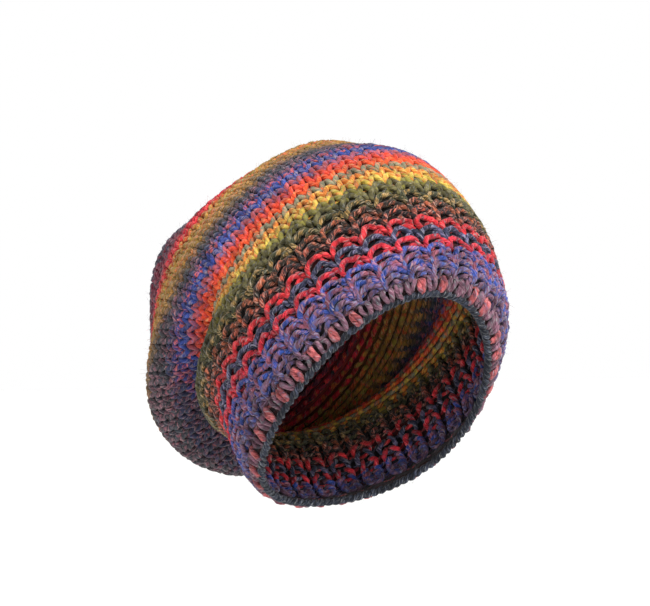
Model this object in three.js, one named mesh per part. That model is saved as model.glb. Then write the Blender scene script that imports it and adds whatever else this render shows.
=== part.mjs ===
// Slouchy wool beret: a ribbed band, a gathered crown that hangs down behind it, and a cast-on edge.
// Millimetres, +Z up. The wearer faces -Y and the wearer's right is -X.
// The origin is the centre of the rim opening, where the head goes in.
import * as THREE from 'three';

// Knit sizes
const RIB_COUNT = 34;
const RIB_DEPTH = 3.0;
const BAND_WALL = 6.0;
const CROWN_WALL = 6.0;
const EDGE_RADIUS = 2.5;
const EDGE_INSET = 4.2;
const PIECE_GAP = 0.4;
const COURSE_HEIGHT = 6.5;
const GAP_COURSES = PIECE_GAP / 2 / COURSE_HEIGHT;

// Courses (rows of stitches) where each piece starts and ends, counted from the rim
const BAND_TOP_COURSE = 11;
const CROWN_END_COURSE = 40;

// How many gathers close the crown, how deep they are and where they fade out
const GATHER_COUNT = 17;
const GATHER_DEPTH = 1.6;
const GATHER_START_COURSE = 29;

// Mesh density
const POINTS_PER_RIB = 6;
const CROWN_POINTS = 4 * GATHER_COUNT;
const EDGE_POINTS = 68;
const EDGE_SIDES = 6;
const BAND_ROWS = [2.2, 4.2, 6.4, 8.6];
const CROWN_ROWS = [
  12, 13, 14, 15, 16, 17, 18.4, 19.8, 21.2, 22.6, 24, 25.4, 27, 28.6, 30.2, 32, 34, 36, 38, 40,
];
const CROWN_TIP = 3.0;

// Steps for slopes of the surface and for following the columns of stitches, in courses and radians
const COURSE_STEP = 0.05;
const TURN_STEP = 0.01;
const FOLLOW_STEP = 0.25;
const LENGTH_SAMPLES = 720;
const SMALLEST_RADIUS = 8;

// Course rings of the outer surface, one row per section.
// Forward is towards the face (-Y); sideDrop lowers the ring over the ears; shift moves it to +X.
const SECTIONS = [
  { course: 0, frontY: 62, frontZ: 70, backY: -66, backZ: -61, halfWidth: 72, sideDrop: 13, shift: 0 },
  { course: 3.5, frontY: 62, frontZ: 92, backY: -84, backZ: -56, halfWidth: 84, sideDrop: 4, shift: 4 },
  { course: 7, frontY: 47, frontZ: 114, backY: -97, backZ: -39, halfWidth: 89, sideDrop: -2, shift: 5 },
  { course: 11, frontY: 26, frontZ: 137, backY: -116, backZ: -25, halfWidth: 94, sideDrop: 3, shift: 7 },
  { course: 14, frontY: 6, frontZ: 152, backY: -132, backZ: -23, halfWidth: 91, sideDrop: 1, shift: 9 },
  { course: 17, frontY: -17, frontZ: 162, backY: -152, backZ: -41, halfWidth: 97, sideDrop: 0, shift: 9 },
  { course: 20, frontY: -44, frontZ: 164, backY: -170, backZ: -46, halfWidth: 97, sideDrop: 2, shift: 8 },
  { course: 23, frontY: -70, frontZ: 167, backY: -186, backZ: -37, halfWidth: 87, sideDrop: 10, shift: 9 },
  { course: 26, frontY: -94, frontZ: 152, backY: -196, backZ: -23, halfWidth: 84, sideDrop: -7, shift: 5 },
  { course: 29, frontY: -114, frontZ: 130, backY: -203, backZ: -1, halfWidth: 78, sideDrop: -23, shift: 8 },
  { course: 32, frontY: -139, frontZ: 131, backY: -205, backZ: 26, halfWidth: 63, sideDrop: -13, shift: 7 },
  { course: 36, frontY: -163, frontZ: 117, backY: -207, backZ: 55, halfWidth: 35, sideDrop: -2, shift: 7 },
  { course: 40, frontY: -186, frontZ: 96, backY: -202, backZ: 81, halfWidth: 8, sideDrop: 0, shift: 6 },
];

// Soft folds and dents: height out of the surface, at an angle from the front towards the wearer's right
const FOLDS = [
  { course: 11, angle: 128, height: 4, courseSpan: 1.8, angleSpan: 34 },
  { course: 13.3, angle: 106, height: -9, courseSpan: 1.1, angleSpan: 16 },
  { course: 15, angle: 134, height: -14, courseSpan: 1.8, angleSpan: 32 },
  { course: 19.5, angle: 40, height: 1, courseSpan: 2.5, angleSpan: 28 },
  { course: 21.5, angle: 118, height: 4, courseSpan: 2.5, angleSpan: 24 },
  { course: 23.5, angle: 75, height: 7, courseSpan: 2.5, angleSpan: 30 },
  { course: 26.5, angle: 95, height: -10, courseSpan: 3, angleSpan: 35 },
];

// Smooth value of one named column at any course
function column(name, course) {
  const last = SECTIONS.length - 1;
  const width = (i) => SECTIONS[i + 1].course - SECTIONS[i].course;
  const slope = (i) => (SECTIONS[i + 1][name] - SECTIONS[i][name]) / width(i);
  const tangent = (i) => {
    if (i === 0) return slope(0);
    if (i === last) return slope(last - 1);
    return (slope(i - 1) * width(i) + slope(i) * width(i - 1)) / (width(i - 1) + width(i));
  };
  let i = 0;
  while (i < last - 1 && course > SECTIONS[i + 1].course) i += 1;
  const span = width(i);
  const t = (course - SECTIONS[i].course) / span;
  const a = SECTIONS[i][name];
  const b = SECTIONS[i + 1][name];
  const t2 = t * t;
  const t3 = t2 * t;
  return (2 * t3 - 3 * t2 + 1) * a + (t3 - 2 * t2 + t) * span * tangent(i)
    + (3 * t2 - 2 * t3) * b + (t3 - t2) * span * tangent(i + 1);
}

// Height of the folds at one place, in the plane of its course
function foldHeight(course, angle) {
  const degrees = THREE.MathUtils.radToDeg(angle);
  let height = 0;
  for (const fold of FOLDS) {
    const away = THREE.MathUtils.euclideanModulo(degrees - fold.angle + 180, 360) - 180;
    const rise = ((course - fold.course) / fold.courseSpan) ** 2 + (away / fold.angleSpan) ** 2;
    height += fold.height * Math.exp(-rise);
  }
  return height;
}

// Point of the outer surface: angle 0 is the front, a quarter turn is the wearer's right
function surfacePoint(course, angle) {
  const frontY = column('frontY', course);
  const backY = column('backY', course);
  const frontZ = column('frontZ', course);
  const backZ = column('backZ', course);
  const side = -column('halfWidth', course) * Math.sin(angle);
  const forward = (frontY - backY) / 2 * Math.cos(angle);
  const up = (frontZ - backZ) / 2 * Math.cos(angle);
  const radius = Math.max(SMALLEST_RADIUS, Math.hypot(side, forward, up));
  const scale = 1 + foldHeight(course, angle) / radius;
  const drop = column('sideDrop', course) * Math.sin(angle) ** 2;
  return new THREE.Vector3(
    column('shift', course) + side * scale,
    -(frontY + backY) / 2 - forward * scale,
    (frontZ + backZ) / 2 + up * scale - drop,
  );
}

// How the surface point moves along its course per radian
function alongCourse(course, angle) {
  const ahead = surfacePoint(course, angle + TURN_STEP);
  return ahead.sub(surfacePoint(course, angle - TURN_STEP)).divideScalar(2 * TURN_STEP);
}

// Directions at one place: along the course, across it towards the crown, and out of the surface
function surfaceFrame(course, angle) {
  const low = Math.max(0, course - COURSE_STEP);
  const high = Math.min(CROWN_END_COURSE, course + COURSE_STEP);
  const along = alongCourse(course, angle).normalize();
  const rise = surfacePoint(high, angle).sub(surfacePoint(low, angle));
  const across = rise.addScaledVector(along, -rise.dot(along)).normalize();
  const out = new THREE.Vector3().crossVectors(across, along).normalize();
  return { along, across, out };
}

// Point at a depth under the outer surface
function inset(course, angle, depth) {
  return surfacePoint(course, angle).addScaledVector(surfaceFrame(course, angle).out, -depth);
}

// Angles that share one course evenly by length, starting at the front
function evenAngles(course, count) {
  const lengths = [0];
  let previous = surfacePoint(course, 0);
  for (let i = 1; i <= LENGTH_SAMPLES; i += 1) {
    const point = surfacePoint(course, 2 * Math.PI * i / LENGTH_SAMPLES);
    lengths.push(lengths[i - 1] + point.distanceTo(previous));
    previous = point;
  }
  const angles = [];
  let i = 0;
  for (let k = 0; k < count; k += 1) {
    const target = lengths[LENGTH_SAMPLES] * k / count;
    while (lengths[i + 1] < target) i += 1;
    const part = (target - lengths[i]) / (lengths[i + 1] - lengths[i]);
    angles.push(2 * Math.PI * (i + part) / LENGTH_SAMPLES);
  }
  return angles;
}

// The same columns of stitches one course higher or lower: each moves square to the course
function followColumns(angles, course, target) {
  const steps = Math.max(1, Math.ceil(Math.abs(target - course) / FOLLOW_STEP));
  const step = (target - course) / steps;
  let current = [...angles];
  for (let k = 0; k < steps; k += 1) {
    const at = course + k * step;
    current = current.map((angle) => {
      const tangent = alongCourse(at, angle);
      const rise = surfacePoint(at + step, angle).sub(surfacePoint(at, angle));
      return angle - rise.dot(tangent) / tangent.lengthSq();
    });
  }
  return current;
}

// One closed mesh from loops of points. Loops join to the next; the ends close on tips or on each other.
function loopSolid(loops, tips) {
  const count = loops[0].length;
  const positions = [];
  const index = [];
  for (const loop of loops) {
    for (const point of loop) positions.push(point.x, point.y, point.z);
  }
  const joins = tips ? loops.length - 1 : loops.length;
  for (let i = 0; i < joins; i += 1) {
    const j = (i + 1) % loops.length;
    for (let k = 0; k < count; k += 1) {
      const n = (k + 1) % count;
      const a = i * count + k;
      const b = i * count + n;
      const c = j * count + n;
      const d = j * count + k;
      index.push(a, c, b, a, d, c);
    }
  }
  if (tips) {
    const first = loops.length * count;
    for (const tip of tips) positions.push(tip.x, tip.y, tip.z);
    const lastLoop = (loops.length - 1) * count;
    for (let k = 0; k < count; k += 1) {
      const n = (k + 1) % count;
      index.push(first, k, n);
      index.push(first + 1, lastLoop + n, lastLoop + k);
    }
  }
  const geometry = new THREE.BufferGeometry();
  geometry.setAttribute('position', new THREE.Float32BufferAttribute(positions, 3));
  geometry.setIndex(index);
  geometry.computeVertexNormals();
  return geometry;
}

// Cast-on edge: a soft cord all round the rim
function castOnEdge() {
  const angles = evenAngles(0, EDGE_POINTS);
  const loops = [];
  for (let s = 0; s < EDGE_SIDES; s += 1) {
    const turn = 2 * Math.PI * s / EDGE_SIDES;
    loops.push(angles.map((angle) => {
      const { across, out } = surfaceFrame(0, angle);
      return surfacePoint(0, angle)
        .addScaledVector(across, EDGE_RADIUS * (1 - Math.cos(turn)))
        .addScaledVector(out, EDGE_RADIUS * Math.sin(turn) - EDGE_INSET);
    }));
  }
  return loopSolid(loops, null);
}

// Ribbed band: knit columns stand out and purl columns sink in, on both faces
function ribbedBand() {
  const middle = BAND_TOP_COURSE / 2;
  const count = RIB_COUNT * POINTS_PER_RIB;
  const centre = evenAngles(middle, count);
  const groove = (k) => RIB_DEPTH * (0.5 - 0.5 * Math.cos(2 * Math.PI * k / POINTS_PER_RIB));
  const rimLift = 2 * EDGE_RADIUS + PIECE_GAP;
  const rim = (depth) => followColumns(centre, middle, 0).map((angle, k) => {
    const { across, out } = surfaceFrame(0, angle);
    return surfacePoint(0, angle).addScaledVector(across, rimLift).addScaledVector(out, -depth - groove(k));
  });
  const row = (course, depth) => followColumns(centre, middle, course)
    .map((angle, k) => inset(course, angle, depth + groove(k)));
  const rows = [...BAND_ROWS, BAND_TOP_COURSE - GAP_COURSES];
  const outer = [rim(0), ...rows.map((course) => row(course, 0))];
  const inner = [rim(BAND_WALL), ...rows.map((course) => row(course, BAND_WALL))].reverse();
  return loopSolid([...outer, ...inner], null);
}

// Crown: the slouching bag, gathered to a small closed centre at the back
function crown() {
  const pleat = (course, k) => {
    const fade = THREE.MathUtils.smoothstep(course, GATHER_START_COURSE, CROWN_END_COURSE - 3);
    return GATHER_DEPTH * fade * (0.5 - 0.5 * Math.cos(2 * Math.PI * k * GATHER_COUNT / CROWN_POINTS));
  };
  const rows = [BAND_TOP_COURSE + GAP_COURSES, ...CROWN_ROWS];
  const row = (course, depth) => evenAngles(course, CROWN_POINTS)
    .map((angle, k) => inset(course, angle, depth + pleat(course, k)));
  const inner = rows.map((course) => row(course, CROWN_WALL));
  const outer = rows.map((course) => row(course, 0));
  const middleOf = (loop) => loop.reduce((sum, point) => sum.add(point), new THREE.Vector3())
    .divideScalar(loop.length);
  const outside = middleOf(outer.at(-1));
  const inside = middleOf(inner.at(-1));
  const axis = outside.clone().sub(middleOf(outer.at(-3))).normalize();
  outside.addScaledVector(axis, CROWN_TIP);
  inside.addScaledVector(axis, CROWN_TIP / 3);
  return loopSolid([...inner.reverse(), ...outer], [inside, outside]);
}

// Wool: matte, in the average colour of each piece's marled yarn
function wool(name, color) {
  return new THREE.MeshStandardMaterial({ name, color, roughness: 0.95, metalness: 0 });
}

const edgeWool = wool('slate_wool', 0x474c58);
const bandWool = wool('band_wool', 0x62455f);
const crownWool = wool('crown_wool', 0x86553f);

function named(name, geometry, material) {
  const mesh = new THREE.Mesh(geometry, material);
  mesh.name = name;
  return mesh;
}

const beret = new THREE.Group();
beret.name = 'wool_beret';
beret.add(
  named('cast_on_edge', castOnEdge(), edgeWool),
  named('ribbed_band', ribbedBand(), bandWool),
  named('crown', crown(), crownWool),
);

export default beret;
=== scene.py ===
# Looks of the slouchy wool beret: every stitch of the ribbed band and the crown is a loop of marled yarn.
# Metres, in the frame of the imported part: +Z up, the wearer faces -Y, the origin is the rim's centre.
from math import radians, tau

import bpy
import numpy as np
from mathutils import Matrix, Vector


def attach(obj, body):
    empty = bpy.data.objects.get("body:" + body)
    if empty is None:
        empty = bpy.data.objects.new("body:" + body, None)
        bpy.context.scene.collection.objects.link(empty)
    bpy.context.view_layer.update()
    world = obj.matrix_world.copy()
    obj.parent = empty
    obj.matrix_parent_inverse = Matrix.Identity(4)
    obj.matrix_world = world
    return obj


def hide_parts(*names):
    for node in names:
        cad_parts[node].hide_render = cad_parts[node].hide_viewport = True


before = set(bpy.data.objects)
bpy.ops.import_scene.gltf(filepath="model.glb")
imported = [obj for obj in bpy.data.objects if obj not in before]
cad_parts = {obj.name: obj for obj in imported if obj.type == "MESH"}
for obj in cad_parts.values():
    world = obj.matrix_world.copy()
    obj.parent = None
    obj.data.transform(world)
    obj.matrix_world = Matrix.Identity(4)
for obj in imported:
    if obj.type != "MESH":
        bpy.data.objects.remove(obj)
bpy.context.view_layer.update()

MM = 0.001
TINY = 1e-12
LOOP_SEED = 11
HAIR_SEED = 7

# Camera: the photograph's viewing angle
CAMERA_PLACE = (-0.8104, -1.2373, 0.0668)
CAMERA_AZIMUTH = 32.0
LENS = 137.8
SENSOR = 36.0

# Floor and light. Azimuth 0 is the front of the hat, positive towards the wearer's left
FLOOR_SIZE = 12.0
FLOOR_HEIGHT = -0.45
FLOOR_COLOUR = "f4f4f2"
FLOOR_ROUGHNESS = 0.9
# Heights at which the white backdrop ends and the full grey of the sky starts: 0 is straight down, 1 up
BACKDROP_TOP = 0.58
SKY_START = 0.68
SKY_GREY = 0.35
# name, azimuth, elevation, strength, spread
SUNS = [
    ("key", 8, 50, 3.4, 25),
    ("fill", -60, 35, 0.3, 60),
]

# Outer surface of the hat, as in the solids (mm). Forward is towards the front of the hat.
# The side drop is how far a course hangs down at both sides.
# course, front forward, front height, back forward, back height, half width, side drop, shift
SECTIONS = [
    (0, 62, 70, -66, -61, 72, 13, 0),
    (3.5, 62, 92, -84, -56, 84, 4, 4),
    (7, 47, 114, -97, -39, 89, -2, 5),
    (11, 26, 137, -116, -25, 94, 3, 7),
    (14, 6, 152, -132, -23, 91, 1, 9),
    (17, -17, 162, -152, -41, 97, 0, 9),
    (20, -44, 164, -170, -46, 97, 2, 8),
    (23, -70, 167, -186, -37, 87, 10, 9),
    (26, -94, 152, -196, -23, 84, -7, 5),
    (29, -114, 130, -203, -1, 78, -23, 8),
    (32, -139, 131, -205, 26, 63, -13, 7),
    (36, -163, 117, -207, 55, 35, -2, 7),
    (40, -186, 96, -202, 81, 8, 0, 6),
]
LAST_COURSE = 40
SMALLEST_RADIUS = 8
# Past the last course the gathered centre is a flat disc, drawn in to a point
CENTRE_COURSE = 41.4

# Each row of the next four tables is a soft round spot on the hat:
# its course, its angle from the front, its size, and its spans in courses and in degrees.
# Folds and dents, out of the surface (mm)
FOLDS = [
    (11, 128, 4, 1.8, 34),
    (13.3, 106, -9, 1.1, 16),
    (15, 134, -14, 1.8, 32),
    (19.5, 40, 1, 2.5, 28),
    (21.5, 118, 4, 2.5, 24),
    (23.5, 75, 7, 2.5, 30),
    (26.5, 95, -10, 3, 35),
]
# Where the rows of yarn lie off their even places (courses)
ROW_SHIFTS = [
    (18.0, 134, -0.7, 1.8, 34),
    (7.6, 72, -0.8, 2.0, 24),
    (6.5, 112, 0.6, 2.5, 20),
]
# Where the stripes run ahead of the rows or behind them (courses)
STRIPE_SHIFTS = [
    (15.8, 145, 1.8, 1.8, 30),
    (21.0, 140, -1.7, 2.2, 34),
    (19.8, 66, 1.2, 1.8, 28),
    # This spot shows the darker olive stripe in place of the yellow one at the edge of the crease: painted
    # shade
    (12.2, 122, -1.4, 0.9, 30),
]
# Painted shade: darker wool in the crease at the side, behind it and low on the band (share of the light
# lost)
SHADOWS = [
    (11.7, 97, 0.75, 1.3, 13),
    (13.0, 124, 0.85, 2.4, 18),
    (2.0, 100, 0.25, 4.5, 40),
    (15.0, 150, 0.45, 3.0, 30),
    (18.5, 165, 0.22, 5.0, 35),
]
MOST_SHADOW = 0.9

# Columns of stitches: even in the middle of the band, square to the courses, evened out again up the crown
RIBS = 34
COLUMNS = 2 * RIBS
COLUMN_SAMPLES = 4 * COLUMNS
ROUND_SAMPLES = 1441
EVEN_COURSE = 5.5
RELAX_START = 11.0
RELAX_FULL = 15.0
RELAX_RATE = 0.14
MAP_STEP = 0.25

# Band: the courses of its rows of loops. The first is the rim row, of bright knit and dull purl strokes
BAND_ROWS = [1.45, 2.4, 3.05, 3.7, 4.4, 5.2, 6.1, 7.0, 7.9, 8.8, 9.7, 10.6]
RIM_KNIT_STRIPE = 0.5
RIM_PURL_STRIPE = 1.5
BRIGHT_SHARE = 0.75

# Crown: rows of plain stitches, and one more that is drawn in to the gathered centre
CROWN_START = 11.0
CROWN_ROWS = 41
GATHERED_ROWS = 1
# course from which a row has this many stitches
DECREASES = [
    (0, 68), (24, 60), (27, 52), (30, 44), (32.5, 36), (34.5, 28), (36, 20), (37.5, 12), (39, 8), (40, 6),
]
# part of the crown, its rows and its loose hairs; in three parts, so that no piece is too large
CROWN_PARTS = [
    ("front", slice(0, 11), 5000),
    ("middle", slice(11, 23), 5000),
    ("back", slice(23, None), 4500),
]

# How the loops of a fabric lie: pitch of their height in courses, depth of the middle of the wall and
# reach from there to its faces (mm), and how far their points stray
BAND_KNIT = {"pitch": 0.95, "depth": 4.5, "reach": 2.7, "stray": 0.085}
CROWN_KNIT = {"pitch": (LAST_COURSE - CROWN_START) / CROWN_ROWS, "depth": 3.0, "reach": 1.2, "stray": 0.04}

# Yarn: radius (mm) and how much it swells and thins, in each part of the hat
EDGE_YARN = (1.45, 0.2)
BAND_YARN = (1.55, 0.3)
CROWN_YARN = (1.65, 0.16)
# Its thickness in the middle of the wall and at a face, its sides, the length of a thick or thin place (m),
# and how many points a corner of a loop is rounded off to
THIN = 0.6
THICK = 1.12
YARN_SIDES = 5
LUMP_LENGTH = 0.014
LOOP_CUTS = 2
# Each row starts this much further along the yarn for every point before it, so that no two look alike (m)
ROW_LENGTH_STEP = 0.01

# Loose hairs: how many, length and radius (m), a bent spike one long, its taper, lean and range of sizes
EDGE_HAIRS = 900
BAND_HAIRS = 5500
HAIR_LENGTH = 0.0055
HAIR_RADIUS = 0.00007
HAIR_ROOT = (0, 0, -0.1)
HAIR_BEND = (0.05, 0, 0.55)
HAIR_TIP = (0.55, 0.1, 0.75)
HAIR_TAPER = 0.7
HAIR_LEAN = 0.5
HAIR_SIZES = (0.4, 1.0)

# Cord of the cast-on edge (mm): two strands round a line that lies up from the rim and inside the wall
EDGE_RISE = 2.5
EDGE_DEPTH = 4.0
STRAND_SWING = 1.1
TWISTS_PER_RIB = 1.5
EDGE_SAMPLES = 8 * COLUMNS

# Felted middle of the wall: its thickness and depth (mm), and in the band its wave with the ribs
FELT_THICKNESS = 1.0
BAND_FELT_DEPTH = 4.2
BAND_FELT_WAVE = 0.7
BAND_FELT_COURSES = np.linspace(0.3, 10.9, 12)
# Painted shade: the felt's wool is darkened so that the gaps between the loops look shaded
BAND_FELT_SHADED_BRIGHTNESS = 0.065
CROWN_FELT_DEPTH = 3.3
CROWN_FELT_COURSES = np.append(np.arange(10.9, 40.4, 0.7), [40.8, 41.2, 41.39])
CROWN_FELT_SHADED_BRIGHTNESS = 0.26

# Loops of yarn, from where the yarn crosses from the last stitch to where it crosses to the next.
# side in stitch widths, rise in rows towards the crown, out from the middle of the wall to one face
KNIT_LOOP = [
    (-0.50, 0.40, 0.10),
    (-0.46, 0.36, 0.70),
    (-0.64, 0.18, 1.10),
    (-0.82, -0.10, 0.90),
    (-0.90, -0.36, 0.35),
    (-0.62, -0.46, 0.20),
    (-0.32, -0.06, 0.95),
    (0.00, -0.14, 0.75),
    (0.46, -0.46, 0.30),
    (0.90, -0.52, 0.80),
    (0.93, -0.14, 1.15),
    (0.78, 0.28, 1.25),
    (0.42, 0.54, 1.25),
    (0.02, 0.54, 1.20),
    (-0.34, 0.42, 1.00),
    (-0.48, 0.32, 0.45),
    (-0.05, 0.28, 0.15),
]
PURL_LOOP = [
    (-0.50, 0.74, 0.00),
    (-0.24, 0.62, -0.70),
    (-0.64, 0.06, -1.10),
    (-0.42, -0.58, -0.50),
    (0.42, -0.58, -0.50),
    (0.64, 0.06, -1.10),
    (0.24, 0.62, -0.70),
]
RIM_KNIT_LOOP = [
    (-0.50, 0.30, 0.05),
    (-0.12, 0.46, 0.50),
    (-0.12, 0.18, 1.05),
    (-0.12, -0.34, 1.15),
    (-0.08, -0.84, 0.85),
    (0.02, -0.98, 0.40),
    (0.12, -0.76, 0.85),
    (0.12, -0.26, 1.05),
    (0.10, 0.20, 0.95),
    (0.08, 0.46, 0.45),
]
RIM_PURL_LOOP = [
    (-0.50, 0.40, 0.20),
    (-0.34, 0.40, 0.80),
    (-0.28, -0.10, 1.00),
    (-0.20, -0.68, 0.60),
    (0.02, -0.92, 0.10),
    (0.20, -0.60, 0.60),
    (0.28, 0.00, 0.95),
    (0.26, 0.48, 0.70),
]
PLAIN_LOOP = [
    (-0.50, 1.05, -1.00),
    (-0.06, 0.76, -0.15),
    (-0.13, 0.42, 1.00),
    (-0.29, -0.12, 1.30),
    (-0.45, -0.64, 0.75),
    (-0.32, -1.00, -0.80),
    (0.32, -1.00, -0.80),
    (0.45, -0.64, 0.75),
    (0.29, -0.12, 1.30),
    (0.13, 0.42, 1.00),
    (0.06, 0.76, -0.15),
]

# Stripes: course from which the row has it, yarn, flecks in it, share of flecks
YARN, FLECK, SHARE = 1, 2, 3
BAND_STRIPES = [
    (0.0, "c46264", "704c60", 0.45),
    (1.0, "8c6072", "4a4652", 0.40),
    (2.0, "7c586c", "384a88", 0.45),
    (2.75, "3450a4", "865a6c", 0.50),
    (3.4, "985464", "40508c", 0.50),
    (4.1, "3852a4", "905a6c", 0.50),
    (4.9, "d42c3c", "5c2c48", 0.35),
    (5.7, "30344c", "6c6484", 0.45),
    (6.6, "d83038", "642834", 0.35),
    (7.5, "302a2c", "b0503a", 0.45),
    (8.4, "38302a", "b45c3c", 0.45),
    (9.3, "454630", "a07c44", 0.45),
    (10.2, "746c44", "34321f", 0.45),
]
CROWN_STRIPES = [
    (11.0, "88803c", "443a24", 0.45),
    (11.7, "d4b850", "cc7034", 0.45),
    (12.4, "d87c34", "d4b050", 0.45),
    (13.1, "8c886c", "d06434", 0.35),
    (13.8, "e8542c", "cc783c", 0.30),
    (14.5, "e44a30", "b04c60", 0.35),
    (15.3, "bc5860", "5c5080", 0.45),
    (16.0, "344894", "7c6c80", 0.40),
    (16.7, "364484", "c05450", 0.45),
    (17.4, "3a4060", "94545c", 0.40),
    (18.1, "3e424c", "8c5460", 0.40),
    (18.8, "424448", "784c58", 0.40),
    (19.5, "665848", "98643f", 0.45),
    (20.2, "8a6c40", "b8803c", 0.45),
    (20.9, "9c7c38", "bc6c38", 0.45),
    (21.6, "b08438", "d06030", 0.45),
    (22.3, "a08c38", "cc5c34", 0.45),
    (23.0, "b87c34", "9c8c40", 0.45),
    (23.7, "c45c30", "a88438", 0.45),
    (24.4, "d8343c", "b85830", 0.35),
    (25.1, "d02c3c", "5c2834", 0.35),
    (25.8, "9c2c3e", "2c2c30", 0.45),
    (26.5, "5c2c3c", "a82c3c", 0.45),
    (27.3, "7c2c40", "3c3c4c", 0.45),
    (29.0, "444054", "7c3450", 0.40),
    (31.0, "3c487c", "5c546c", 0.40),
    (33.0, "6c5470", "3c4878", 0.40),
    (35.0, "864c60", "6c5c78", 0.40),
    (37.0, "7c7044", "885468", 0.40),
    (38.5, "a08040", "7c7044", 0.40),
]
EDGE_STRIPES = [
    (0.0, "2a2e3a", "4a5064", 0.35),
]
EDGE_STRIPE = 0.3

# Wool: how much its fibres speckle it in each part, and its finish
EDGE_SPECKLE = 0.8
BAND_SPECKLE = 1.0
CROWN_SPECKLE = 0.6
FELT_SPECKLE = 1.0
WOOL_FINISH = {
    "Roughness": 0.9,
    "Sheen Weight": 0.15,
    "Sheen Roughness": 0.5,
    "Specular IOR Level": 0.2,
}
# Colour of pale fibres, partly a painted highlight on fibres that stand up
PALE_FIBRE_AND_HIGHLIGHT = "a8a8a0"
TWIST_LENGTH = 0.011
STREAK_LENGTH = 0.0035
FIBRES_AROUND = 1.4
FIBRE_ROUGHNESS = 0.65
NOISE_DETAIL = 3.0
# Flecks: their number per metre of yarn, where they start to show, how fast they spread with their share,
# how softly they blend, and what the plies add. Stripes shift the patterns, so that no two rows are alike
FLECK_SCALE = 300.0
FLECK_START = 0.62
FLECK_GROWTH = 0.42
FLECK_BLEND = 0.28
PLY_CONTRAST = 0.08
FLECK_STRIPE_SHIFT = 3.7
FIBRE_STRIPE_SHIFT = 11.3
# Light and dark: of the fibres, of soft clouds on the hat, and painted shade on yarn that lies deep in the
# wall
FIBRE_SPAN = (0.34, 0.66)
FIBRE_DARK = 0.8
FIBRE_LIGHT = 0.7
CLOUD_SCALE = 110.0
CLOUD_DETAIL = 2.0
CLOUD_SPAN = (0.3, 0.7)
CLOUD_VALUES = (0.6, 1.3)
DEEP_SHADE_VALUES = (0.45, 1.05)
PALE_SPAN = (0.56, 0.72)
PALE_SHARE = 0.75
PLY_HEIGHT = 0.35
BUMP_STRENGTH = 0.7
BUMP_DISTANCE = 0.0008


# Surface of the hat

def column_value(table, slopes, course, i):
    """Smooth value of one column of the section table at any course."""
    start = table[:, 0]
    k = np.clip(np.searchsorted(start, course, side="right") - 1, 0, len(start) - 2)
    span = start[k + 1] - start[k]
    t = (course - start[k]) / span
    a, b = table[k, i], table[k + 1, i]
    m, n = slopes[k, i] * span, slopes[k + 1, i] * span
    return (
        (2 * t**3 - 3 * t**2 + 1) * a + (t**3 - 2 * t**2 + t) * m
        + (3 * t**2 - 2 * t**3) * b + (t**3 - t**2) * n
    )


def section_slopes(table):
    """Slope of every column at every section."""
    span = np.diff(table[:, 0])[:, None]
    slope = np.diff(table, axis=0) / span
    inner = (slope[:-1] * span[1:] + slope[1:] * span[:-1]) / (span[:-1] + span[1:])
    return np.vstack([slope[:1], inner, slope[-1:]])


TABLE = np.array(SECTIONS, float)
SLOPES = section_slopes(TABLE)


def with_spots(value, course, angle, spots):
    """A value with the soft round spots of a table added to it."""
    for at, centre, size, course_span, angle_span in spots:
        away = (np.degrees(angle) - centre + 180) % 360 - 180
        value = value + size * np.exp(-((course - at) / course_span) ** 2 - (away / angle_span) ** 2)
    return value


def surface(course, angle):
    """Points of the outer surface in metres. Angle 0 is the front, a quarter turn the wearer's right."""
    course, angle = np.broadcast_arrays(np.asarray(course, float), np.asarray(angle, float))
    spread = np.clip((CENTRE_COURSE - course) / (CENTRE_COURSE - LAST_COURSE), 0, 1)
    course = np.minimum(course, LAST_COURSE)
    front_y, front_z, back_y, back_z, half, drop, shift = (
        column_value(TABLE, SLOPES, course, i) for i in range(1, 8)
    )
    side = -half * np.sin(angle)
    forward = (front_y - back_y) / 2 * np.cos(angle)
    up = (front_z - back_z) / 2 * np.cos(angle)
    radius = np.maximum(SMALLEST_RADIUS, np.sqrt(side**2 + forward**2 + up**2))
    scale = spread * (1 + with_spots(0.0, course, angle, FOLDS) / radius)
    return MM * np.stack([
        shift + side * scale,
        -(front_y + back_y) / 2 - forward * scale,
        (front_z + back_z) / 2 + up * scale - drop * np.sin(angle) ** 2,
    ], axis=-1)


def unit(v):
    return v / np.maximum(TINY, np.linalg.norm(v, axis=-1, keepdims=True))


def along_course(course, angle):
    """How the surface point moves along its course per radian."""
    step = 0.01
    return (surface(course, angle + step) - surface(course, angle - step)) / (2 * step)


def outward(course, angle):
    """Direction out of the surface."""
    step = 0.05
    along = unit(along_course(course, angle))
    low = np.maximum(0, course - step)
    high = np.minimum(CENTRE_COURSE, course + step)
    rise = surface(high, angle) - surface(low, angle)
    across = rise - along * np.sum(rise * along, axis=-1, keepdims=True)
    return unit(np.cross(across, along))


def under_surface(course, angle, depth):
    """Points at a depth (mm) under the outer surface."""
    course = np.asarray(course, float)
    return surface(course, angle) - outward(course, angle) * (MM * np.asarray(depth))[..., None]


def light_at(course, angle):
    """Share of the light that the wool keeps at a place, painted into its colour as shade."""
    return 1 - np.minimum(MOST_SHADOW, with_spots(0.0, course, angle, SHADOWS))


# Columns of stitches

def even_angles(course, count):
    """Angles that share one course evenly by length, starting at the front."""
    fine = np.linspace(0, tau, ROUND_SAMPLES)
    points = surface(np.full_like(fine, course), fine)
    length = np.concatenate([[0], np.cumsum(np.linalg.norm(np.diff(points, axis=0), axis=1))])
    return np.interp(np.arange(count) / count * length[-1], length, fine)


def follow(angles, course, step):
    """The same columns one step up or down, square to the course."""
    here = np.full_like(angles, course)
    there = np.full_like(angles, course + step)
    tangent = along_course(here, angles)
    rise = surface(there, angles) - surface(here, angles)
    return angles - np.sum(rise * tangent, axis=-1) / np.sum(tangent**2, axis=-1)


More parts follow.
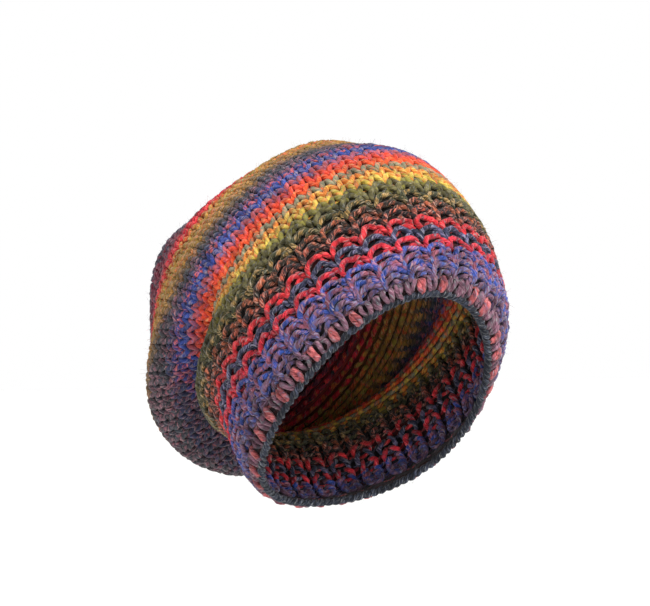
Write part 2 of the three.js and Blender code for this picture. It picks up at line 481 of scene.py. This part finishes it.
def column_map():
    """Angle of every column of stitches at every quarter course."""
    courses = np.arange(0, LAST_COURSE + MAP_STEP / 2, MAP_STEP)
    middle = int(round(EVEN_COURSE / MAP_STEP))
    rows = {middle: even_angles(EVEN_COURSE, COLUMN_SAMPLES)}
    for k in range(middle, 0, -1):
        rows[k - 1] = follow(rows[k], courses[k], -MAP_STEP)
    for k in range(middle, len(courses) - 1):
        angles = follow(rows[k], courses[k], MAP_STEP)
        even = even_angles(courses[k + 1], COLUMN_SAMPLES)
        even = even + np.mean(angles - even)
        relax = np.clip((courses[k + 1] - RELAX_START) / (RELAX_FULL - RELAX_START), 0, 1)
        weight = relax * RELAX_RATE * MAP_STEP
        rows[k + 1] = (1 - weight) * angles + weight * even
    return np.array([rows[k] for k in range(len(courses))])


MAP_ANGLES = column_map()


def column_angle(course, place):
    """Angle at a course of a place round the hat, from 0 at the front to 1 back at the front."""
    turns = np.floor(place)
    spot = (place - turns) * COLUMN_SAMPLES
    k = np.clip(course / MAP_STEP, 0, len(MAP_ANGLES) - 1.001)
    row = k.astype(int)
    column = spot.astype(int) % COLUMN_SAMPLES
    after = (column + 1) % COLUMN_SAMPLES
    wrap = np.where(after == 0, tau, 0)
    part, lift = spot - np.floor(spot), k - row
    low = MAP_ANGLES[row, column] * (1 - part) + (MAP_ANGLES[row, after] + wrap) * part
    high = MAP_ANGLES[row + 1, column] * (1 - part) + (MAP_ANGLES[row + 1, after] + wrap) * part
    return low * (1 - lift) + high * lift + tau * turns


# Rows of yarn

def round_off(points, cuts):
    """A smooth closed line through points; place, the first column, gains one turn on the way round."""
    before = np.roll(points, 1, axis=0)
    before[0, 0] -= 1
    after = np.roll(points, -1, axis=0)
    after[-1, 0] += 1
    later = np.roll(points, -2, axis=0)
    later[-2:, 0] += 1
    pieces = []
    for t in np.arange(cuts) / cuts:
        pieces.append(0.5 * (
            2 * points + (after - before) * t
            + (2 * before - 5 * points + 4 * after - later) * t**2
            + (3 * points - before - 3 * after + later) * t**3
        ))
    return np.stack(pieces, axis=1).reshape(-1, points.shape[1])


def yarn_row(course, count, loops, knit, rng):
    """One row of loops round the hat: its points, and what each point needs to know of its place."""
    points = []
    for i in range(count):
        loop = np.array(loops[i % len(loops)])
        loop += rng.normal(0, knit["stray"], loop.shape)
        place = (i + loop[:, 0]) / count
        rise = course + knit["pitch"] * loop[:, 1]
        depth = knit["depth"] - knit["reach"] * loop[:, 2]
        points.append(np.stack([place, rise, depth], axis=1))
    place, rise, depth = round_off(np.vstack(points), LOOP_CUTS).T
    course_there = with_spots(rise, rise, column_angle(rise, place), ROW_SHIFTS)
    angle = column_angle(course_there, place)
    out = np.abs(knit["depth"] - depth) / knit["reach"]
    return {
        "points": under_surface(course_there, angle, depth),
        "place": place,
        "angle": angle,
        "stripe": course,
        # Yarn deep in the wall is thinner, and the wool paints it darker there as shade
        "thickness": THIN + (THICK - THIN) * np.clip(out, 0, 1),
        "light": light_at(course_there, angle),
    }


def band_rows(rng):
    """Knit and purl loops turn about. On the rim row the knit strokes are bright, the purl ones dull."""
    rim_row = yarn_row(BAND_ROWS[0], COLUMNS, [RIM_KNIT_LOOP, RIM_PURL_LOOP], BAND_KNIT, rng)
    column = np.round(rim_row["place"] * COLUMNS).astype(int) % COLUMNS
    bright = (column % 2 == 0) & (rng.random(COLUMNS) < BRIGHT_SHARE)[column]
    rim_row["stripe"] = np.where(bright, RIM_KNIT_STRIPE, RIM_PURL_STRIPE)
    rows = [rim_row]
    for course in BAND_ROWS[1:]:
        rows.append(yarn_row(course, COLUMNS, [KNIT_LOOP, PURL_LOOP], BAND_KNIT, rng))
    return rows


def stitches_at(course):
    """How many stitches a row of the crown has."""
    return [stitches for start, stitches in DECREASES if course >= start][-1]


def crown_rows(rng):
    """Rows of plain stitches from the band to the gathered centre."""
    rows = []
    for k in range(CROWN_ROWS + GATHERED_ROWS):
        course = CROWN_START + (k + 0.5) * CROWN_KNIT["pitch"]
        row = yarn_row(course, stitches_at(course), [PLAIN_LOOP], CROWN_KNIT, rng)
        row["stripe"] = with_spots(course, course, row["angle"], STRIPE_SHIFTS)
        rows.append(row)
    return rows


def edge_rows():
    """Two strands twisted into the cord of the cast-on edge."""
    rim = np.zeros(EDGE_SAMPLES)
    place = np.arange(EDGE_SAMPLES) / EDGE_SAMPLES
    angle = column_angle(rim, place)
    along = unit(along_course(rim, angle))
    out = outward(rim, angle)
    across = np.cross(along, out)
    middle = surface(rim, angle) + (across * EDGE_RISE - out * EDGE_DEPTH) * MM
    rows = []
    for strand in range(2):
        turn = tau * (place * RIBS * TWISTS_PER_RIB + strand / 2)
        around = (across * np.cos(turn)[:, None] + out * np.sin(turn)[:, None]) * STRAND_SWING * MM
        rows.append({"points": middle + around, "stripe": EDGE_STRIPE, "thickness": 1.0, "light": 1.0})
    return rows


def add_values(mesh, name, values):
    """A number for every point of a mesh."""
    attribute = mesh.attributes.new(name, "FLOAT", "POINT")
    attribute.data.foreach_set("value", np.asarray(values).astype(np.float32))


def path_mesh(name, rows):
    """One mesh of closed lines of points, with the values that the yarn needs."""
    edges, lengths = [], []
    start = 0
    for row in rows:
        n = len(row["points"])
        edges.append(np.stack([np.arange(n), np.roll(np.arange(n), -1)], axis=1) + start)
        steps = np.linalg.norm(np.diff(row["points"], axis=0), axis=1)
        lengths.append(np.concatenate([[0], np.cumsum(steps)]) + start * ROW_LENGTH_STEP)
        start += n
    mesh = bpy.data.meshes.new(name)
    mesh.from_pydata(np.vstack([row["points"] for row in rows]).tolist(), np.vstack(edges).tolist(), [])
    for key in ("stripe", "thickness", "light"):
        add_values(mesh, key, np.concatenate([np.broadcast_to(row[key], len(row["points"])) for row in rows]))
    add_values(mesh, "yarn_length", np.concatenate(lengths))
    return mesh


# Node trees

class Nodes:
    """Builds a node tree a node at a time. An input is a value, or another node's output to link."""

    def __init__(self, tree):
        self.tree = tree

    def node(self, kind, inputs=(), **settings):
        node = self.tree.nodes.new(kind)
        for key, value in settings.items():
            setattr(node, key, value)
        for key, value in dict(inputs).items():
            socket = node.inputs[key]
            if isinstance(value, bpy.types.NodeSocket):
                self.tree.links.new(value, socket)
            else:
                socket.default_value = value
        return node

    def math(self, operation, a, b=0.0):
        return self.node("ShaderNodeMath", {0: a, 1: b}, operation=operation).outputs[0]


class GeometryTree(Nodes):
    """A geometry tree with named inputs."""

    def __init__(self, name):
        super().__init__(bpy.data.node_groups.new(name, "GeometryNodeTree"))
        self.tree.interface.new_socket("Geometry", in_out="INPUT", socket_type="NodeSocketGeometry")
        self.tree.interface.new_socket("Geometry", in_out="OUTPUT", socket_type="NodeSocketGeometry")
        self.inputs = self.tree.nodes.new("NodeGroupInput")
        self.output = self.tree.nodes.new("NodeGroupOutput")

    def named_input(self, name, kind):
        self.tree.interface.new_socket(name, in_out="INPUT", socket_type=kind)
        return self.inputs.outputs[name]

    def finish(self, geometry, material):
        real = self.node("GeometryNodeRealizeInstances", {"Geometry": geometry})
        painted = self.node("GeometryNodeSetMaterial", {"Geometry": real.outputs[0], "Material": material})
        self.tree.links.new(painted.outputs[0], self.output.inputs[0])
        return self.tree


def yarn_tree():
    """Thick and thin yarn along every line of a mesh."""
    t = GeometryTree("yarn_along_lines")
    radius = t.named_input("Yarn Radius", "NodeSocketFloat")
    sides = t.named_input("Sides", "NodeSocketInt")
    uneven = t.named_input("Unevenness", "NodeSocketFloat")
    lump = t.named_input("Lump Length", "NodeSocketFloat")
    material = t.named_input("Wool", "NodeSocketMaterial")
    curve = t.node("GeometryNodeMeshToCurve", {"Mesh": t.inputs.outputs["Geometry"]})
    length = t.node("GeometryNodeInputNamedAttribute", {"Name": "yarn_length"}, data_type="FLOAT")
    place = t.math("DIVIDE", length.outputs[0], lump)
    noise = t.node("ShaderNodeTexNoise", {"W": place, "Scale": 1.0, "Detail": 1.0}, noise_dimensions="1D")
    swing = t.math("MULTIPLY", t.math("SUBTRACT", noise.outputs[0], 0.5), t.math("MULTIPLY", uneven, 2.0))
    thickness = t.node("GeometryNodeInputNamedAttribute", {"Name": "thickness"}, data_type="FLOAT")
    scale = t.math("MULTIPLY", t.math("ADD", 1.0, swing), thickness.outputs[0])
    ring = t.node("GeometryNodeCurvePrimitiveCircle", {"Resolution": sides, "Radius": radius})
    position = t.node("GeometryNodeInputPosition")
    side = t.node("ShaderNodeVectorMath", {0: position.outputs[0]}, operation="NORMALIZE")
    ring = t.node("GeometryNodeStoreNamedAttribute", {
        "Geometry": ring.outputs[0], "Name": "yarn_side", "Value": side.outputs[0],
    }, data_type="FLOAT_VECTOR", domain="POINT")
    tube = t.node("GeometryNodeCurveToMesh", {
        "Curve": curve.outputs[0], "Profile Curve": ring.outputs[0], "Scale": scale,
    })
    smooth = t.node("GeometryNodeSetShadeSmooth", {"Geometry": tube.outputs[0], "Shade Smooth": True})
    return t.finish(smooth.outputs[0], material)


def fuzz_tree():
    """Loose hairs that stand out of the yarn, each a thin bent spike."""
    t = GeometryTree("loose_hairs")
    density = t.named_input("Hairs per Square Metre", "NodeSocketFloat")
    length = t.named_input("Hair Length", "NodeSocketFloat")
    width = t.named_input("Hair Radius", "NodeSocketFloat")
    seed = t.named_input("Seed", "NodeSocketInt")
    material = t.named_input("Wool", "NodeSocketMaterial")
    spots = t.node("GeometryNodeDistributePointsOnFaces", {
        "Mesh": t.inputs.outputs["Geometry"], "Density": density, "Seed": seed,
    })
    bend = t.node("GeometryNodeCurveQuadraticBezier", {
        "Resolution": 2, "Start": HAIR_ROOT, "Middle": HAIR_BEND, "End": HAIR_TIP,
    })
    path = t.node("GeometryNodeResampleCurve", {"Curve": bend.outputs[0], "Count": 3})
    along = t.node("GeometryNodeSplineParameter")
    taper = t.math("SUBTRACT", 1.0, t.math("MULTIPLY", along.outputs["Factor"], HAIR_TAPER))
    ring = t.node("GeometryNodeCurvePrimitiveCircle", {
        "Resolution": 3, "Radius": t.math("DIVIDE", width, length),
    })
    hair = t.node("GeometryNodeCurveToMesh", {
        "Curve": path.outputs[0], "Profile Curve": ring.outputs[0], "Scale": taper, "Fill Caps": True,
    })
    turn = t.node("FunctionNodeRandomValue", {
        "Min": (-HAIR_LEAN, -HAIR_LEAN, 0.0), "Max": (HAIR_LEAN, HAIR_LEAN, tau), "Seed": seed,
    }, data_type="FLOAT_VECTOR")
    lean = t.node("FunctionNodeRotateRotation", {
        "Rotation": spots.outputs["Rotation"], "Rotate By": turn.outputs[0],
    }, rotation_space="LOCAL")
    size = t.node("FunctionNodeRandomValue", {
        2: HAIR_SIZES[0], 3: HAIR_SIZES[1], "Seed": t.math("ADD", seed, 1),
    }, data_type="FLOAT")
    placed = t.node("GeometryNodeInstanceOnPoints", {
        "Points": spots.outputs["Points"], "Instance": hair.outputs[0],
        "Rotation": lean.outputs[0], "Scale": t.math("MULTIPLY", size.outputs[1], length),
    })
    return t.finish(placed.outputs[0], material)


def add_object(name, mesh):
    """An object at the origin, in the scene."""
    made = bpy.data.objects.new(name, mesh)
    bpy.context.scene.collection.objects.link(made)
    return made


def run_tree(mesh, tree, name, values):
    """The tree's result on a mesh, as a plain object at the origin."""
    source = add_object(name + "_source", mesh)
    modifier = source.modifiers.new(name, "NODES")
    modifier.node_group = tree
    for item in tree.interface.items_tree:
        if item.item_type == "SOCKET" and item.in_out == "INPUT" and item.name in values:
            modifier[item.identifier] = values[item.name]
    depsgraph = bpy.context.evaluated_depsgraph_get()
    done = bpy.data.meshes.new_from_object(source.evaluated_get(depsgraph), depsgraph=depsgraph)
    bpy.data.objects.remove(source)
    done.name = name
    return add_object(name, done)


# Wool

def colour(code):
    """Linear colour of an sRGB code."""
    parts = [int(code[i:i + 2], 16) / 255 for i in (0, 2, 4)]
    return [p / 12.92 if p <= 0.04045 else ((p + 0.055) / 1.055) ** 2.4 for p in parts] + [1.0]


class WoolTree(Nodes):
    """The tree of a wool material, with the steps that it repeats."""

    def attribute(self, name, output="Fac"):
        return self.node("ShaderNodeAttribute", attribute_name=name).outputs[output]

    def noise(self, place, scale, detail, roughness=0.5):
        return self.node("ShaderNodeTexNoise", {
            "Vector": place, "Scale": scale, "Detail": detail, "Roughness": roughness,
        }).outputs[0]

    def stretch(self, value, span, result, **settings):
        """A value moved from one span of numbers to another."""
        return self.node("ShaderNodeMapRange", {
            "Value": value, "From Min": span[0], "From Max": span[1],
            "To Min": result[0], "To Max": result[1],
        }, **settings).outputs[0]

    def mix(self, share, first, second):
        return self.node("ShaderNodeMix", {0: share, 6: first, 7: second}, data_type="RGBA").outputs[2]


def stripe_ramp(t, stripes, column, place):
    """One column of the stripe chart, looked up by course."""
    low, high = stripes[0][0], LAST_COURSE + 1
    ramp = t.node("ShaderNodeValToRGB", {0: t.stretch(place, (low, high), (0.0, 1.0))})
    ramp.color_ramp.interpolation = "CONSTANT"
    elements = ramp.color_ramp.elements
    elements.remove(elements[1])
    for i, row in enumerate(stripes):
        spot = (row[0] - low) / (high - low)
        element = elements[0] if i == 0 else elements.new(spot)
        element.position = spot
        value = row[column]
        element.color = (value, value, value, 1) if column == SHARE else colour(value)
    return ramp.outputs[0]


def yarn_twist(t, length):
    """Angle round the yarn, turning with its two plies."""
    side = t.node("ShaderNodeSeparateXYZ", {0: t.attribute("yarn_side", "Vector")})
    angle = t.math("ARCTAN2", side.outputs[1], side.outputs[0])
    return t.math("ADD", angle, t.math("MULTIPLY", length, tau / TWIST_LENGTH))


def fine_fibres(t, twist, length, stripe):
    """Fine streaks that follow the twist."""
    along = t.math("MULTIPLY", length, 1 / STREAK_LENGTH)
    place = t.node("ShaderNodeCombineXYZ", {
        0: t.math("MULTIPLY", t.math("COSINE", twist), FIBRES_AROUND),
        1: t.math("MULTIPLY", t.math("SINE", twist), FIBRES_AROUND),
        2: t.math("ADD", along, t.math("MULTIPLY", stripe, FIBRE_STRIPE_SHIFT)),
    })
    return t.noise(place.outputs[0], 1.0, NOISE_DETAIL, FIBRE_ROUGHNESS)


def marl(t, stripes, stripe, length, twist, fibres):
    """The stripe's yarn with flecks of its second colour."""
    yarn = stripe_ramp(t, stripes, YARN, stripe)
    fleck = stripe_ramp(t, stripes, FLECK, stripe)
    share = stripe_ramp(t, stripes, SHARE, stripe)
    place = t.node("ShaderNodeCombineXYZ", {0: length, 1: t.math("MULTIPLY", stripe, FLECK_STRIPE_SHIFT)})
    lumps = t.noise(place.outputs[0], FLECK_SCALE, NOISE_DETAIL)
    ply = t.math("MULTIPLY", t.math("SINE", twist), PLY_CONTRAST)
    lifted = t.math("ADD", t.math("ADD", lumps, ply), t.math("SUBTRACT", fibres, 0.5))
    edge = t.math("SUBTRACT", FLECK_START, t.math("MULTIPLY", share, FLECK_GROWTH))
    span = (edge, t.math("ADD", edge, FLECK_BLEND))
    mask = t.stretch(lifted, span, (0.0, 1.0), interpolation_type="SMOOTHSTEP")
    return t.mix(mask, yarn, fleck)


def wool(name, stripes, speckle, painted_brightness=1.0):
    """Marled wool: two twisted plies, flecks of a second colour along the yarn and fine fibres, darkened by
    painted shade.
    """
    material = bpy.data.materials.new(name)
    material.use_nodes = True
    t = WoolTree(material.node_tree)
    shader = t.tree.nodes["Principled BSDF"]
    for socket, value in WOOL_FINISH.items():
        shader.inputs[socket].default_value = value
    stripe, length = t.attribute("stripe"), t.attribute("yarn_length")
    twist = yarn_twist(t, length)
    fibres = fine_fibres(t, twist, length, stripe)

    # How light each place is: streaks of the fibres and soft clouds, times painted shade where the yarn lies
    # deep and where the light attribute is low
    streak = t.stretch(fibres, FIBRE_SPAN, (1 - FIBRE_DARK * speckle, 1 + FIBRE_LIGHT * speckle))
    where = t.node("ShaderNodeTexCoord").outputs["Object"]
    cloud = t.stretch(t.noise(where, CLOUD_SCALE, CLOUD_DETAIL), CLOUD_SPAN, CLOUD_VALUES)
    # Painted shade: yarn that lies deep in the wall is darker
    depth = t.stretch(t.attribute("thickness"), (THIN, THICK), DEEP_SHADE_VALUES)
    light = t.attribute("light")
    painted_shade = t.math("MULTIPLY", depth, t.math("MULTIPLY", light, painted_brightness))
    value = t.math("MULTIPLY", t.math("MULTIPLY", streak, cloud), painted_shade)

    # Colour, with pale tips where the fibres stand up: pale fibres, partly a painted highlight
    yarn = marl(t, stripes, stripe, length, twist, fibres)
    shaded = t.node("ShaderNodeHueSaturation", {"Value": value, "Color": yarn}).outputs[0]
    pale = t.stretch(fibres, PALE_SPAN, (0.0, PALE_SHARE * speckle * painted_brightness))
    tipped = t.mix(t.math("MULTIPLY", pale, light), shaded, colour(PALE_FIBRE_AND_HIGHLIGHT))
    t.tree.links.new(tipped, shader.inputs["Base Color"])

    # Relief of the plies and the fibres
    plies = t.math("MULTIPLY", t.math("COSINE", t.math("MULTIPLY", twist, 2.0)), PLY_HEIGHT)
    bump = t.node("ShaderNodeBump", {
        "Height": t.math("ADD", plies, fibres), "Strength": BUMP_STRENGTH, "Distance": BUMP_DISTANCE,
    })
    t.tree.links.new(bump.outputs[0], shader.inputs["Normal"])
    return material


# Pieces

def finish_piece(piece, slot, *nodes):
    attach(piece, "root")
    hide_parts(*nodes)


def felt(name, courses, depth_of, columns, material, slot, node):
    """The felted middle of the wall, which closes the holes between the loops; its darkened wool is painted
    shade in them.
    """
    place = np.arange(columns) / columns
    depth = depth_of(place)
    rings = [(np.full(columns, course), column_angle(np.full(columns, course), place)) for course in courses]
    outer = [under_surface(course, angle, depth - FELT_THICKNESS / 2) for course, angle in rings]
    inner = [under_surface(course, angle, depth + FELT_THICKNESS / 2) for course, angle in rings]
    points = np.array(outer + inner[::-1])
    faces = []
    for i in range(len(points)):
        j = (i + 1) % len(points)
        for k in range(columns):
            n = (k + 1) % columns
            faces.append((i * columns + k, j * columns + k, j * columns + n, i * columns + n))
    mesh = bpy.data.meshes.new(name)
    mesh.from_pydata(points.reshape(-1, 3).tolist(), [], faces)
    course, angle = np.concatenate(rings + rings[::-1], axis=1)
    add_values(mesh, "stripe", with_spots(course, course, angle, STRIPE_SHIFTS))
    add_values(mesh, "thickness", np.full(len(course), THICK))
    add_values(mesh, "light", light_at(course, angle))
    mesh.shade_smooth()
    mesh.materials.append(material)
    finish_piece(add_object(name, mesh), slot, node)


def build_yarn():
    """Every row of yarn, and the loose hairs on it."""
    rng = np.random.default_rng(LOOP_SEED)
    yarn, fuzz = yarn_tree(), fuzz_tree()
    edge = (wool("slate_wool", EDGE_STRIPES, EDGE_SPECKLE), "slate_wool", "cast_on_edge")
    band = (wool("band_wool", BAND_STRIPES, BAND_SPECKLE), "band_wool", "ribbed_band")
    crown = (wool("crown_wool", CROWN_STRIPES, CROWN_SPECKLE), "crown_wool", "crown")

    # piece of yarn, piece of hairs, rows, yarn, number of hairs, fabric
    strands = [
        ("edge_cord", "edge_fuzz", edge_rows(), EDGE_YARN, EDGE_HAIRS, edge),
        ("band_stitches", "band_fuzz", band_rows(rng), BAND_YARN, BAND_HAIRS, band),
    ]
    all_rows = crown_rows(rng)
    for part, rows, hairs in CROWN_PARTS:
        names = f"crown_stitches_{part}", f"crown_fuzz_{part}"
        strands.append((*names, all_rows[rows], CROWN_YARN, hairs, crown))

    sources = []
    for name, _, rows, (radius, swell), _, (material, slot, node) in strands:
        piece = run_tree(path_mesh(name + "_path", rows), yarn, name, {
            "Yarn Radius": radius * MM, "Sides": YARN_SIDES, "Unevenness": swell,
            "Lump Length": LUMP_LENGTH, "Wool": material,
        })
        finish_piece(piece, slot, node)
        sources.append(piece.data)
    for source, (_, name, _, _, hairs, (material, slot, node)) in zip(sources, strands):
        area = sum(face.area for face in source.polygons)
        piece = run_tree(source.copy(), fuzz, name, {
            "Hairs per Square Metre": hairs / area, "Hair Length": HAIR_LENGTH, "Hair Radius": HAIR_RADIUS,
            "Seed": HAIR_SEED, "Wool": material,
        })
        finish_piece(piece, slot, node)


def build_felt():
    """The felted middle of the band and of the crown, darkened as painted shade between the loops."""
    felt(
        "band_felt_shade", BAND_FELT_COURSES,
        lambda place: BAND_FELT_DEPTH - BAND_FELT_WAVE * np.cos(tau * RIBS * place), 4 * COLUMNS,
        wool("band_felt_shade", BAND_STRIPES, FELT_SPECKLE, BAND_FELT_SHADED_BRIGHTNESS), "band_wool", "ribbed_band",
    )
    felt(
        "crown_felt_shade", CROWN_FELT_COURSES,
        lambda place: np.full(len(place), CROWN_FELT_DEPTH), 2 * COLUMNS,
        wool("crown_felt_shade", CROWN_STRIPES, FELT_SPECKLE, CROWN_FELT_SHADED_BRIGHTNESS), "crown_wool", "crown",
    )


# Stage

def floor():
    s, z = FLOOR_SIZE, FLOOR_HEIGHT
    mesh = bpy.data.meshes.new("floor")
    mesh.from_pydata([(-s, -s, z), (s, -s, z), (s, s, z), (-s, s, z)], [], [(0, 1, 2, 3)])
    material = bpy.data.materials.new("pale_floor")
    material.use_nodes = True
    shader = material.node_tree.nodes["Principled BSDF"]
    shader.inputs["Base Color"].default_value = colour(FLOOR_COLOUR)
    shader.inputs["Roughness"].default_value = FLOOR_ROUGHNESS
    mesh.materials.append(material)
    add_object("floor", mesh)


def sun(name, azimuth, elevation, strength, spread):
    """Soft even light from one side."""
    light = bpy.data.lights.new(name, "SUN")
    light.energy = strength
    light.angle = radians(spread)
    a, e = radians(azimuth), radians(elevation)
    place = Vector((np.sin(a) * np.cos(e), -np.cos(a) * np.cos(e), np.sin(e)))
    lamp = add_object(name, light)
    lamp.rotation_euler = (-place).to_track_quat("-Z", "Y").to_euler()
    lamp.location = place * 2


def studio():
    """A white backdrop to just over the horizon, a grey sky above it, and the suns."""
    world = bpy.data.worlds.new("studio")
    world.use_nodes = True
    t = Nodes(world.node_tree)
    where = t.node("ShaderNodeTexCoord").outputs["Generated"]
    split = t.node("ShaderNodeSeparateXYZ", {0: where})
    height = t.node("ShaderNodeMapRange", {"Value": split.outputs["Z"], "From Min": -1.0})
    ramp = t.node("ShaderNodeValToRGB", {0: height.outputs[0]})
    white, sky = ramp.color_ramp.elements
    white.position = BACKDROP_TOP
    white.color = (1, 1, 1, 1)
    sky.position = SKY_START
    sky.color = (SKY_GREY, SKY_GREY, SKY_GREY, 1)
    background = world.node_tree.nodes["Background"]
    world.node_tree.links.new(ramp.outputs[0], background.inputs["Color"])
    background.inputs["Strength"].default_value = 1.0
    bpy.context.scene.world = world
    bpy.context.scene.view_settings.view_transform = "Standard"
    for values in SUNS:
        sun(*values)


def camera():
    data = bpy.data.cameras.new("photo_view")
    data.lens = LENS
    data.sensor_width = SENSOR
    photo_view = add_object("photo_view", data)
    photo_view.location = CAMERA_PLACE
    photo_view.rotation_euler = (radians(90), 0, -radians(CAMERA_AZIMUTH))
    bpy.context.scene.camera = photo_view


camera()
build_yarn()
build_felt()
floor()
studio()
